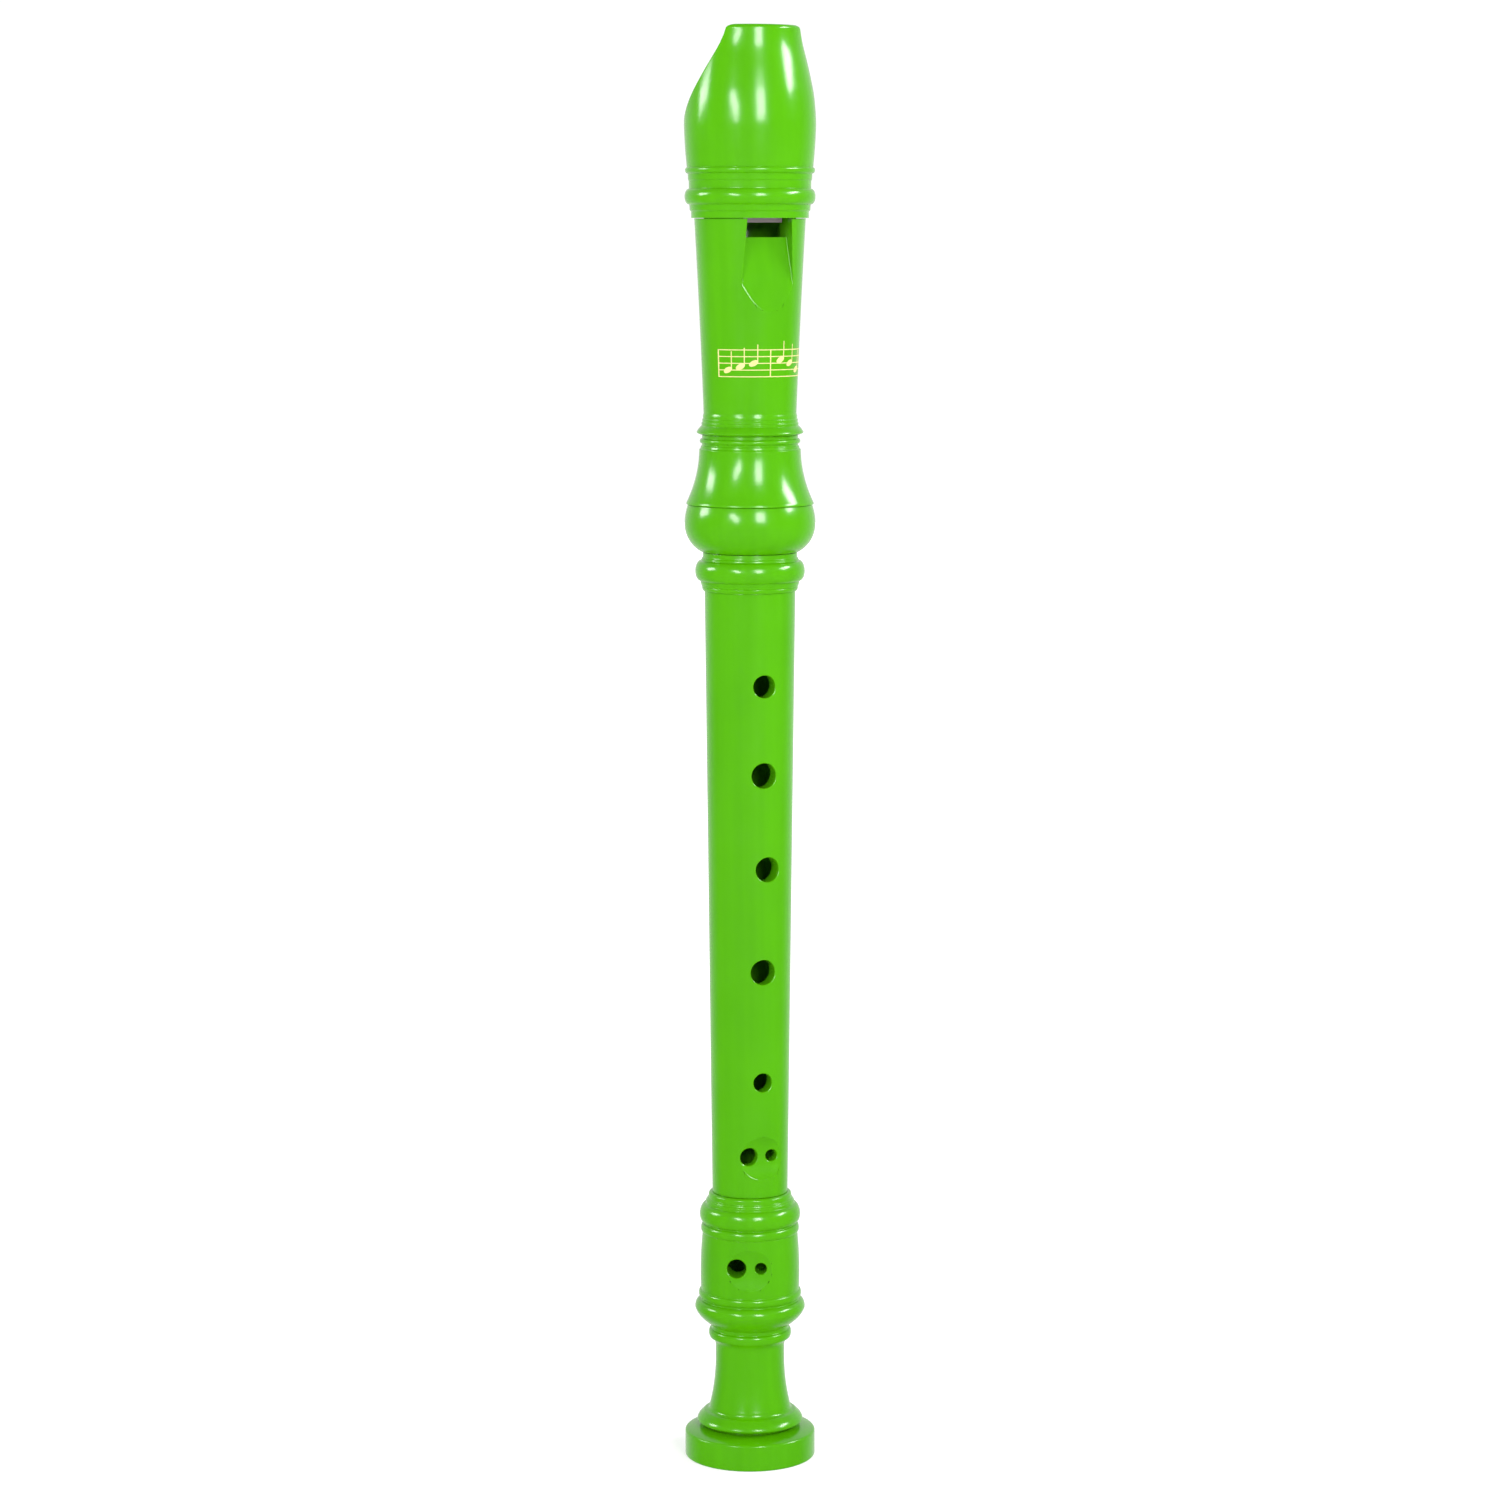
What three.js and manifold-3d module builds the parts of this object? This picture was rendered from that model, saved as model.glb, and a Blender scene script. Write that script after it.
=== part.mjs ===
// Soprano recorder in moulded plastic: head, middle and foot joints that pull apart and turn.
// Millimetres, +Z up the bore towards the beak, origin on the axis at the foot's rim.
// The window and the finger holes face -Y, and the thumb hole faces +Y.
import * as THREE from "three";
import { mergeVertices } from "three/addons/utils/BufferGeometryUtils.js";
import Module from "manifold-3d";

const wasm = await Module();
wasm.setup();

// Overall sizes.
const TOTAL_LENGTH = 330;
const SIDES = 28; // facets round every turned piece
const HOLE_SIDES = 16; // facets round a finger hole
const DISH_SIDES = 44; // facets round the cylinder that cuts a dish
const HEAD_TURN_DEG = 3.5; // how far the head is turned on the middle
const FOOT_TURN_DEG = -20; // the foot is turned for the right little finger
const SEAM = 0.1; // gap left at a glued or closed seam

// Heights of the seams and shoulders along the axis.
const BASE_TOP = 6.9;
const FOOT_SEAM = 53.3;
const FOOT_TOP = 63.1;
const TUBE_TOP = 203;
const HEAD_BOTTOM = 211.9;
const LEDGE = 222.7;
const FERRULE_TOP = 238.4;
const CAP_BOTTOM = 287.3;
const SPIGOT_TOP = 297;

// Tenons and sockets.
const UPPER_TENON_RADIUS = 8.6;
const UPPER_TENON_TOP = 231.8;
const LOWER_TENON_RADIUS = 7.6;
const LOWER_TENON_BOTTOM = 50.7;
const SOCKET_CLEARANCE = 0.15;
const GREASE_GROOVE = { width: 1.4, depth: 0.35 };

// Bore radii from top to bottom.
const HEAD_BORE = 6.9;
const MIDDLE_BORE_TOP = 6.7;
const MIDDLE_BORE_BOTTOM = 5.5;
const FOOT_BORE_TOP = 5.4;
const FOOT_BORE_BOTTOM = 5.0;

// Outside radii of the plain stretches.
const TUBE_RADIUS_TOP = 10.37;
const TUBE_RADIUS_BOTTOM = 8.75;
const BARREL_RADIUS_TOP = 12.6;
const BARREL_RADIUS_BOTTOM = 10.55;
const FOOT_RADIUS = 11.52;
const WAIST_RADIUS = 8;
const BASE_RADIUS = 15.14;
const SPIGOT_RADIUS = 10.4;
const SLEEVE_RADIUS = 10.2;
const BASE_SPIGOT_RADIUS = 6.4;

// Windway, window and labium, as distances in front of the axis.
const WINDWAY = { halfWidth: 4.8, roofTip: 9.6, roofExit: 8.2, floorTip: 8.5, floorExit: 7.3 };
const WINDOW = {
  halfWidth: 5.4,
  bottom: 283,
  flaredHalfWidth: 6.5,
  rampFoot: 266.5,
  rampFootFront: 11.55,
};
const LABIUM = { front: 7.6, thickness: 0.4, reliefDepth: 4.4, reliefHeight: 8 };
const BLOCK_BOTTOM = CAP_BOTTOM - 1;
const KEY_HALF_WIDTH = 5.3;

// The beak is hollowed by a cylinder across the back.
const UNDERCUT = { radius: 36, y: 27.8, z: 338, sides: 96 };
const TIP_RADIUS = 11.7;
const LIP = 0.9; // rounding at the beak's tip

// Finger holes on the middle: height, diameter, and turn about the axis.
const FINGER_HOLES = [
  { z: 181.9, diameter: 5.2, turn: 0 },
  { z: 161.5, diameter: 5.8, turn: 0 },
  { z: 139.8, diameter: 5.7, turn: 6 },
  { z: 116, diameter: 5.8, turn: 0 },
  { z: 90.2, diameter: 4.4, turn: 0 },
];
const THUMB_HOLE = { z: 195, diameter: 5.3, turn: 180 };

// Double holes: a large and a small hole side by side in one round dish.
const SIXTH_HOLE = { z: 72.7, large: 4.2, small: 2.75, largeX: -2.85, smallX: 2.6, dishZ: 72.3 };
const SEVENTH_HOLE = { z: 46.9, large: 4.4, small: 2.7, largeX: -3, smallX: 2.6, dishZ: 46.9 };
const DISH_RADIUS = 5.2;

const CUT_REACH = 20; // how far the cutting tools reach from the axis

const radians = THREE.MathUtils.degToRad;

// ---- outlines: lists of [radius, height] ----

// An arc about [centreRadius, centreHeight]; 0 degrees points away from the axis, 90 up.
function arc(centreRadius, centreHeight, radius, fromDeg, toDeg, steps) {
  return Array.from({ length: steps + 1 }, (_, i) => {
    const angle = radians(fromDeg + ((toDeg - fromDeg) * i) / steps);
    return [centreRadius + radius * Math.cos(angle), centreHeight + radius * Math.sin(angle)];
  });
}

// A half-round bead from one point up to another that stands out by `proud`.
function bead([lowRadius, lowHeight], [highRadius, highHeight], proud, steps) {
  return Array.from({ length: steps + 1 }, (_, i) => {
    const turn = (Math.PI * i) / steps;
    const along = (1 - Math.cos(turn)) / 2;
    const radius = lowRadius + (highRadius - lowRadius) * along + proud * Math.sin(turn);
    return [radius, lowHeight + (highHeight - lowHeight) * along];
  });
}

// A curve through two points that leans towards a third.
function curve(from, lean, to, steps) {
  const line = new THREE.QuadraticBezierCurve(
    new THREE.Vector2(...from),
    new THREE.Vector2(...lean),
    new THREE.Vector2(...to),
  );
  return line.getPoints(steps).map((p) => [p.x, p.y]);
}

// A smooth curve through chosen points.
function through(points, steps) {
  const line = new THREE.SplineCurve(points.map((p) => new THREE.Vector2(...p)));
  return line.getPoints(steps).map((p) => [p.x, p.y]);
}

// ---- solids ----

function solid(geometry) {
  const bare = geometry.clone();
  bare.deleteAttribute("normal");
  bare.deleteAttribute("uv");
  const merged = mergeVertices(bare, 1e-4);
  return new wasm.Manifold(
    new wasm.Mesh({
      numProp: 3,
      vertProperties: new Float32Array(merged.attributes.position.array),
      triVerts: new Uint32Array(merged.index.array),
    }),
  );
}

// Turns an outline about Z. The outline is closed here, and may touch the axis.
function turned(outline) {
  const points = outline.map(([radius, height]) => new THREE.Vector2(Math.max(radius, 0), height));
  if (THREE.ShapeUtils.area(points) < 0) points.reverse();
  points.push(points[0].clone());
  const geometry = new THREE.LatheGeometry(points, SIDES);
  geometry.rotateX(Math.PI / 2);
  return solid(geometry);
}

function disc(radius, low, high) {
  return turned([[0, low], [radius, low], [radius, high], [0, high]]);
}

// A prism along X from an outline of [y, z] points.
function prismAlongX(outline, halfWidth) {
  const shape = new THREE.Shape(outline.map((p) => new THREE.Vector2(...p)));
  const geometry = new THREE.ExtrudeGeometry(shape, { depth: 2 * halfWidth, bevelEnabled: false });
  geometry.applyMatrix4(
    new THREE.Matrix4().makeBasis(
      new THREE.Vector3(0, 1, 0),
      new THREE.Vector3(0, 0, 1),
      new THREE.Vector3(1, 0, 0),
    ),
  );
  geometry.translate(-halfWidth, 0, 0);
  return solid(geometry);
}

// A prism along Y from an outline of [x, z] points, between two distances in front of the axis.
function prismAlongY(outline, nearFront, farFront) {
  const shape = new THREE.Shape(outline.map((p) => new THREE.Vector2(...p)));
  const depth = farFront - nearFront;
  const geometry = new THREE.ExtrudeGeometry(shape, { depth, bevelEnabled: false });
  geometry.applyMatrix4(
    new THREE.Matrix4().makeBasis(
      new THREE.Vector3(1, 0, 0),
      new THREE.Vector3(0, 0, 1),
      new THREE.Vector3(0, -1, 0),
    ),
  );
  geometry.translate(0, -nearFront, 0);
  return solid(geometry);
}

// A cylinder across the instrument, along X.
function crossCylinder(radius, y, z, sides) {
  const geometry = new THREE.CylinderGeometry(radius, radius, 2 * CUT_REACH, sides);
  geometry.rotateZ(Math.PI / 2);
  geometry.translate(0, y, z);
  return solid(geometry);
}

// A round hole from the axis out through the front wall, turned about the axis.
function frontHole({ z, diameter, x = 0, turn = 0 }) {
  const radius = diameter / 2;
  const geometry = new THREE.CylinderGeometry(radius, radius, CUT_REACH, HOLE_SIDES);
  geometry.translate(x, -CUT_REACH / 2, z);
  geometry.rotateZ(radians(turn));
  return solid(geometry);
}

// The dish is cut by a cylinder across the tube, as fat as the tube itself,
// which leaves a circular rim.
function cutDoubleHole(body, hole, tubeRadius) {
  const depth = DISH_RADIUS ** 2 / (2 * tubeRadius);
  const dish = crossCylinder(tubeRadius, depth - 2 * tubeRadius, hole.dishZ, DISH_SIDES);
  return body
    .subtract(dish)
    .subtract(frontHole({ z: hole.z, diameter: hole.large, x: hole.largeX }))
    .subtract(frontHole({ z: hole.z, diameter: hole.small, x: hole.smallX }));
}

// ---- foot ----

function footBaseRing() {
  const edge = 0.7;
  const sideTop = BASE_TOP - 0.6;
  return turned([
    [BASE_SPIGOT_RADIUS + SEAM, 0],
    ...arc(BASE_RADIUS - edge, edge, edge, -90, 0, 3),
    ...arc(BASE_RADIUS - edge, sideTop - edge, edge, 0, 80, 3),
    [10.8, BASE_TOP],
    [BASE_SPIGOT_RADIUS + SEAM, BASE_TOP],
  ]);
}

function footTube() {
  const flareRadius = 48;
  const waistTop = 26.3;
  const waistBottom = 23.5;
  const barrelRadius = 92;
  const barrelMiddle = 44;
  const centre = FOOT_RADIUS - barrelRadius;
  const low = 0.2;
  const socketRadius = LOWER_TENON_RADIUS + SOCKET_CLEARANCE;
  const socketEnd = LOWER_TENON_BOTTOM - 0.3;
  const outside = [
    [BASE_SPIGOT_RADIUS, low],
    [BASE_SPIGOT_RADIUS, BASE_TOP + SEAM],
    [10.6, BASE_TOP + SEAM],
    ...arc(10.95, 8.4, 1.35, -75, 48, 6),
    [11, 10.4],
    [10.4, 10.8],
    [9.6, 11.1],
    ...arc(WAIST_RADIUS + flareRadius, waistBottom, flareRadius, 194, 180, 4),
    ...curve([WAIST_RADIUS, waistTop], [WAIST_RADIUS + 0.1, 27.4], [9.1, 28.2], 3),
    ...bead([9.1, 28.2], [9.2, 30.3], 0.42, 4),
    [8.95, 30.4],
    [8.95, 31.3],
    ...curve([9.05, 31.35], [12.3, 33.5], [12.8, 35.5], 4),
    ...curve([12.8, 35.6], [12.74, 37.2], [11.5, 37.5], 3),
    ...bead([11.5, 37.9], [11.46, 39.75], 0.46, 4),
    ...arc(centre, barrelMiddle, barrelRadius, -2.2, 5.75, 5),
  ];
  const inside = [
    [socketRadius, FOOT_SEAM],
    [socketRadius, socketEnd],
    [FOOT_BORE_TOP, socketEnd],
    [FOOT_BORE_BOTTOM, 3],
    [FOOT_BORE_BOTTOM + 0.5, low],
  ];
  return cutDoubleHole(turned([...outside, ...inside]), SEVENTH_HOLE, FOOT_RADIUS);
}

function footSocketRing() {
  const socket = LOWER_TENON_RADIUS + SOCKET_CLEARANCE;
  const low = FOOT_SEAM + SEAM;
  return turned([
    [socket, low],
    ...bead([11.05, low], [10.85, 55.6], 0.45, 4),
    ...bead([10.8, 55.8], [10.5, 60.1], 1, 6),
    [10.25, 60.3],
    [10.15, 61.2],
    [9.75, 61.4],
    [9.65, 62],
    ...arc(8.95, 62.4, 0.65, 0, 90, 3),
    [socket, FOOT_TOP - 0.05],
  ]);
}

// ---- middle ----

// Grease grooves cut round a tenon, as outline points going up.
function grooves(tenonRadius, heights) {
  const floor = tenonRadius - GREASE_GROOVE.depth;
  return heights.flatMap((z) => [
    [tenonRadius, z],
    [floor, z],
    [floor, z + GREASE_GROOVE.width],
    [tenonRadius, z + GREASE_GROOVE.width],
  ]);
}

function tubeRadiusAt(height) {
  const share = (height - FOOT_TOP) / (TUBE_TOP - FOOT_TOP);
  return TUBE_RADIUS_BOTTOM + (TUBE_RADIUS_TOP - TUBE_RADIUS_BOTTOM) * share;
}

function middleTube() {
  const lead = 0.6;
  const outside = [
    [LOWER_TENON_RADIUS - lead / 2, LOWER_TENON_BOTTOM],
    [LOWER_TENON_RADIUS, LOWER_TENON_BOTTOM + lead],
    ...grooves(LOWER_TENON_RADIUS, [54, 58.5]),
    [LOWER_TENON_RADIUS, FOOT_TOP],
    [TUBE_RADIUS_BOTTOM, FOOT_TOP],
    [TUBE_RADIUS_TOP, TUBE_TOP],
    [UPPER_TENON_RADIUS, TUBE_TOP],
    ...grooves(UPPER_TENON_RADIUS, [215.5, 220.5, 225.5]),
    [UPPER_TENON_RADIUS, UPPER_TENON_TOP - lead],
    [UPPER_TENON_RADIUS - lead / 2, UPPER_TENON_TOP],
  ];
  const bore = [
    [MIDDLE_BORE_TOP, UPPER_TENON_TOP],
    [MIDDLE_BORE_BOTTOM, LOWER_TENON_BOTTOM],
  ];
  let body = turned([...outside, ...bore]);
  for (const hole of [...FINGER_HOLES, THUMB_HOLE]) body = body.subtract(frontHole(hole));
  return cutDoubleHole(body, SIXTH_HOLE, tubeRadiusAt(SIXTH_HOLE.z));
}

function middleCollar() {
  const inside = UPPER_TENON_RADIUS + SEAM;
  const low = TUBE_TOP + SEAM;
  return turned([
    [inside, low],
    ...bead([10.75, low], [10.9, 204.1], 0.15, 3),
    [11.15, 204.3],
    [11.2, 205],
    ...bead([11.3, 205.2], [11.2, 210], 1.25, 7),
    [11.05, 210.2],
    [11, 210.6],
    [10.76, 210.8],
    [10.76, HEAD_BOTTOM - SEAM],
    [inside, HEAD_BOTTOM - SEAM],
  ]);
}

// ---- head ----

function headSocketRing() {
  const socket = UPPER_TENON_RADIUS + SOCKET_CLEARANCE;
  const bulgeHeight = 218.3;
  return turned([
    [socket, HEAD_BOTTOM],
    ...arc(7.7, bulgeHeight, 7.2, -62, 0, 6),
    ...arc(1.8, bulgeHeight, 13.1, 4, 19.6, 3),
    [socket, LEDGE],
  ]);
}

function headFerrule() {
  const inside = SLEEVE_RADIUS + SEAM;
  const flareTop = 235.2;
  const flare = Array.from({ length: 8 }, (_, i) => {
    const z = LEDGE + SEAM + 0.3 + ((flareTop - LEDGE - SEAM - 0.3) * i) / 7;
    return [11.55 + 0.0191 * (flareTop + 0.3 - z) ** 2, z];
  });
  return turned([
    [inside, LEDGE + SEAM],
    [14.4, LEDGE + SEAM],
    ...flare,
    [11.2, 235.5],
    [11.17, 236.1],
    [10.95, 236.2],
    ...bead([10.95, 236.6], [10.9, 237.8], 0.5, 4),
    [10.9, FERRULE_TOP],
    [inside, FERRULE_TOP],
  ]);
}

function headBarrel() {
  const socket = UPPER_TENON_RADIUS + SOCKET_CLEARANCE;
  const socketEnd = UPPER_TENON_TOP + 0.4;
  const barrelLean = [11.38, 265];
  const step = 0.16;
  const rings = [241.2, 242, 242.8].flatMap((z, i) => {
    const radius = BARREL_RADIUS_BOTTOM + step * (3 - i);
    return [[radius, z - 0.4], [radius, z]];
  });
  const body = turned([
    [socket, LEDGE + SEAM],
    [SLEEVE_RADIUS, LEDGE + SEAM],
    [SLEEVE_RADIUS, FERRULE_TOP + SEAM],
    [10.95, FERRULE_TOP + SEAM],
    [12, 238.9],
    ...curve([12.15, 239.15], [11.85, 239.9], [11.15, 240.6], 3),
    ...rings,
    ...curve([BARREL_RADIUS_BOTTOM, 243.4], barrelLean, [BARREL_RADIUS_TOP, CAP_BOTTOM - SEAM], 4),
    [SPIGOT_RADIUS, CAP_BOTTOM - SEAM],
    [SPIGOT_RADIUS, SPIGOT_TOP],
    [HEAD_BORE, SPIGOT_TOP],
    [HEAD_BORE, socketEnd],
    [socket, socketEnd],
  ]);
  return body.subtract(windowCut()).subtract(keyNotch()).subtract(labiumRelief());
}

// The window and the ramp below it, whose side walls open out downwards.
function windowCut() {
  const { halfWidth, bottom, flaredHalfWidth, rampFoot, rampFootFront } = WINDOW;
  const slope = (rampFootFront - LABIUM.front) / (bottom - rampFoot);
  const lowest = bottom - (CUT_REACH - LABIUM.front) / slope;
  const top = CAP_BOTTOM;
  const sides = prismAlongY(
    [[-flaredHalfWidth, rampFoot], [flaredHalfWidth, rampFoot], [halfWidth, top], [-halfWidth, top]],
    HEAD_BORE - LABIUM.reliefDepth,
    CUT_REACH,
  );
  const aboveRamp = prismAlongX(
    [
      [-CUT_REACH, lowest],
      [-LABIUM.front, bottom],
      [0, bottom],
      [0, top],
      [-CUT_REACH, top],
    ],
    2 * halfWidth,
  );
  return sides.intersect(aboveRamp);
}

// The underside of the labium is planed back to the bore, so that its edge is thin.
function labiumRelief() {
  const under = LABIUM.front - LABIUM.thickness;
  return prismAlongX(
    [
      [-under, WINDOW.bottom + SEAM],
      [-under, WINDOW.bottom],
      [-LABIUM.reliefDepth, WINDOW.bottom - LABIUM.reliefHeight],
      [0, WINDOW.bottom - LABIUM.reliefHeight],
      [0, WINDOW.bottom + SEAM],
    ],
    WINDOW.halfWidth,
  );
}

// The notch in the spigot's front that takes the cap's key and the block's rib.
function keyNotch() {
  const top = SPIGOT_TOP + 1;
  const low = CAP_BOTTOM - SEAM;
  const front = -CUT_REACH;
  return prismAlongX([[front, low], [0, low], [0, top], [front, top]], KEY_HALF_WIDTH + SEAM);
}

function undercut() {
  return crossCylinder(UNDERCUT.radius, UNDERCUT.y, UNDERCUT.z, UNDERCUT.sides);
}

// Everything behind the windway's roof, or behind its floor, out to the bore's axis.
function behindPlane(atExit, atTip, low, halfWidth) {
  const slope = (atTip - atExit) / (TOTAL_LENGTH - CAP_BOTTOM);
  const high = TOTAL_LENGTH + 2;
  const front = (z) => -(atExit + slope * (z - CAP_BOTTOM));
  return prismAlongX([[front(low), low], [0, low], [0, high], [front(high), high]], halfWidth);
}

function beakCap() {
  const key = prismAlongX(
    [
      [-SPIGOT_RADIUS - 1, CAP_BOTTOM],
      [-HEAD_BORE, CAP_BOTTOM],
      [-HEAD_BORE, SPIGOT_TOP + 1],
      [-SPIGOT_RADIUS - 1, SPIGOT_TOP + 1],
    ],
    KEY_HALF_WIDTH,
  );
  const shell = turned([
    [0, CAP_BOTTOM],
    [13.3, CAP_BOTTOM],
    [13.35, 288.8],
    [13.6, 289],
    [13.65, 290],
    ...bead([13.8, 290.2], [13.8, 293.9], 0.97, 6),
    [13.8, 295.4],
    [14.05, 297.1],
    ...bead([14.15, 297.3], [14.25, 298.5], 0.45, 3),
    ...through(
      [[14.25, 298.7], [14.65, 303], [14.88, 308], [14.45, 315], [13.28, 320.4], [12.1, 325.7]],
      9,
    ),
    ...arc(TIP_RADIUS - LIP, TOTAL_LENGTH - LIP, LIP, 10, 90, 3),
    [0, TOTAL_LENGTH],
  ]);
  return shell
    .subtract(disc(SPIGOT_RADIUS + SEAM, CAP_BOTTOM - 1, SPIGOT_TOP + SEAM))
    .add(key)
    .subtract(disc(HEAD_BORE, CAP_BOTTOM - 1, TOTAL_LENGTH + 1))
    .subtract(behindPlane(WINDWAY.roofExit, WINDWAY.roofTip, CAP_BOTTOM - 1, WINDWAY.halfWidth))
    .subtract(undercut());
}

// The block: a plug in the bore with a raised rib that is the windway's floor.
function windwayBlock() {
  const halfWidth = WINDWAY.halfWidth - SEAM;
  const rib = behindPlane(WINDWAY.floorExit, WINDWAY.floorTip, BLOCK_BOTTOM, halfWidth);
  return disc(HEAD_BORE - SEAM, BLOCK_BOTTOM, TOTAL_LENGTH - SEAM)
    .add(rib)
    .trimByPlane([0, 0, -1], -TOTAL_LENGTH)
    .subtract(undercut());
}

// ---- assembly ----

const GREEN = new THREE.Color("#62cb03");
const BLOCK_COLOUR = new THREE.Color("#b9a6b6");

function mesh(name, body, color) {
  const made = body.getMesh();
  const geometry = new THREE.BufferGeometry();
  geometry.setAttribute("position", new THREE.BufferAttribute(made.vertProperties, 3));
  geometry.setIndex(new THREE.BufferAttribute(made.triVerts, 1));
  geometry.computeVertexNormals();
  const material = new THREE.MeshStandardMaterial({ color, roughness: 0.3, metalness: 0 });
  const part = new THREE.Mesh(geometry, material);
  part.name = name;
  return part;
}

const head = new THREE.Group();
head.rotation.z = radians(HEAD_TURN_DEG);
head.add(
  mesh("beak_cap", beakCap(), GREEN),
  mesh("windway_block", windwayBlock(), BLOCK_COLOUR),
  mesh("head_barrel", headBarrel(), GREEN),
  mesh("head_ferrule", headFerrule(), GREEN),
);

const foot = new THREE.Group();
foot.rotation.z = radians(FOOT_TURN_DEG);
foot.add(mesh("foot_tube", footTube(), GREEN), mesh("foot_base_ring", footBaseRing(), GREEN));

const recorder = new THREE.Group();
recorder.add(
  head,
  mesh("head_socket_ring", headSocketRing(), GREEN),
  mesh("middle_tube", middleTube(), GREEN),
  mesh("middle_collar", middleCollar(), GREEN),
  mesh("foot_socket_ring", footSocketRing(), GREEN),
  foot,
);

export default recorder;
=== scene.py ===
"""Soprano recorder in moulded plastic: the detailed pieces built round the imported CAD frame.

Outlines are in millimetres, as (radius, height) pairs; the axis is Z and the window faces -Y.
"""

import math

import bmesh
import bpy
from mathutils import Matrix, Vector


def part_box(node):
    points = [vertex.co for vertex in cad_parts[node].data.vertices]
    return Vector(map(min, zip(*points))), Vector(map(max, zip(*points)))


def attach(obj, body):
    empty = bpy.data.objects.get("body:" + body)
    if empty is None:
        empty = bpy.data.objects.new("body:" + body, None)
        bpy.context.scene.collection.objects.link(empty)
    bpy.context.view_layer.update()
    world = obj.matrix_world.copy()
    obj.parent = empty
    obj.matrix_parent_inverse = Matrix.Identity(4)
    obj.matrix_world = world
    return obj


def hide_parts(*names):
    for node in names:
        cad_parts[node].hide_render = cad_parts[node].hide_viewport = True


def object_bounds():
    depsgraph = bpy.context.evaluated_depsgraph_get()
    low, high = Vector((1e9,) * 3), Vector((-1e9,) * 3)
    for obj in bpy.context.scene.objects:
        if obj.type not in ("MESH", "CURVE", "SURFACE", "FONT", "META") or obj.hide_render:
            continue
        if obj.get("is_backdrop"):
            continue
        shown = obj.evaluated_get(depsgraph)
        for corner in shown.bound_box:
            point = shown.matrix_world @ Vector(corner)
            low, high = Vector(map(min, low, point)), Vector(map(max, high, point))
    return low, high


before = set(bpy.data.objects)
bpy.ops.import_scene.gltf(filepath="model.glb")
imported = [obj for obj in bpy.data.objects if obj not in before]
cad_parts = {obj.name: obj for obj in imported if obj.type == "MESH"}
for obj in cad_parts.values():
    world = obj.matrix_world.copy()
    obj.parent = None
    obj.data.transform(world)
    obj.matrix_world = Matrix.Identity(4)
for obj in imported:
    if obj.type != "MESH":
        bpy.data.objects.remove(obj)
cad_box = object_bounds()

MM = 0.001
SIDES = 192  # facets round a turned piece
BEAK_SIDES = 320  # facets round the beak, whose back edge is a free curve
EDGE_SOFTNESS = 0.1  # rounding of every moulded corner
CORNER_TURN = math.radians(24)  # corners that turn by less than this stay as drawn
SHARP_TURN = math.radians(28)  # edges sharper than this are shaded as edges
CUT_SOFTNESS = 0.19  # rounding where a cut meets an outside wall
FLAT_TURN = math.radians(9)  # cut edges that turn by less than this stay unrounded
WELD = 0.004  # points closer than this become one after a cut
ON_SURFACE = 0.012  # a face belongs to a surface if its corners are this close to it
SAME_FACING = math.cos(math.radians(7))  # and if it turns from the surface by less than this
PAST = 1  # tools reach past the piece they cut by this, or by some multiple of it

# How far the head and the foot are turned on the middle in the photo.
HEAD_TURN_DEG = 3.5
FOOT_TURN_DEG = -20


def low(node):
    """Height of a CAD node's lowest point, in millimetres."""
    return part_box(node)[0].z / MM


def high(node):
    """Height of a CAD node's highest point, in millimetres."""
    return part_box(node)[1].z / MM


# Seams along the axis, from the CAD nodes.
TOP = high("beak_cap")
CAP_BOTTOM = low("beak_cap")
BLOCK_BOTTOM = low("windway_block")
SPIGOT_TOP = high("head_barrel")
BARREL_BOTTOM = low("head_barrel")
FERRULE_TOP = high("head_ferrule")
RING_TOP = high("head_socket_ring")
RING_BOTTOM = low("head_socket_ring")
COLLAR_TOP = high("middle_collar")
COLLAR_BOTTOM = low("middle_collar")
UPPER_TENON_TOP = high("middle_tube")
LOWER_TENON_BOTTOM = low("middle_tube")
FOOT_RING_TOP = high("foot_socket_ring")
FOOT_TOP = high("foot_tube")
FOOT_BOTTOM = low("foot_tube")
BASE_TOP = high("foot_base_ring")

SEAM = 0.1  # gap left between two pieces, so that their faces never lie in each other
TIGHT_SEAM = 0.02  # the same where the seam shows as a fine line
CRISP = 0.05  # a second point this close to a corner keeps it nearly sharp
TUBE_TOP = COLLAR_BOTTOM - TIGHT_SEAM
TUBE_BOTTOM = FOOT_RING_TOP + TIGHT_SEAM

# Tenons, sockets and bores.
UPPER_TENON = 8.6
LOWER_TENON = 7.6
SOCKET_CLEARANCE = 0.15
GROOVE_WIDTH = 1.4
GROOVE_DEPTH = 0.35
HEAD_BORE = 6.9
MIDDLE_BORE_TOP = 6.7
MIDDLE_BORE_BOTTOM = 5.5
FOOT_BORE_TOP = 5.4
FOOT_BORE_BOTTOM = 5.0
SPIGOT = 10.4  # the barrel's top, inside the cap
SLEEVE = 10.2  # the barrel's foot, inside the ferrule
BASE_SPIGOT = 6.4  # the foot tube's end, inside the disc

# Outsides.
TUBE_RADIUS_TOP = 10.37
TUBE_RADIUS_BOTTOM = 8.75
BARREL_START = 243.4  # height where the plain wall begins
BARREL_RADIUS_BOTTOM = 10.55
BARREL_RADIUS_TOP = 12.6
BARREL_SAG = 0.42  # the wall is hollow by a quarter of this, half-way up
FOOT_RADIUS = 11.52  # where the foot's barrel is fattest
FOOT_CURVE = 92  # radius of its outline
FOOT_MIDDLE = 44  # height of its fattest place
WAIST = 8
BASE_RADIUS = 15.14

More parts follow.
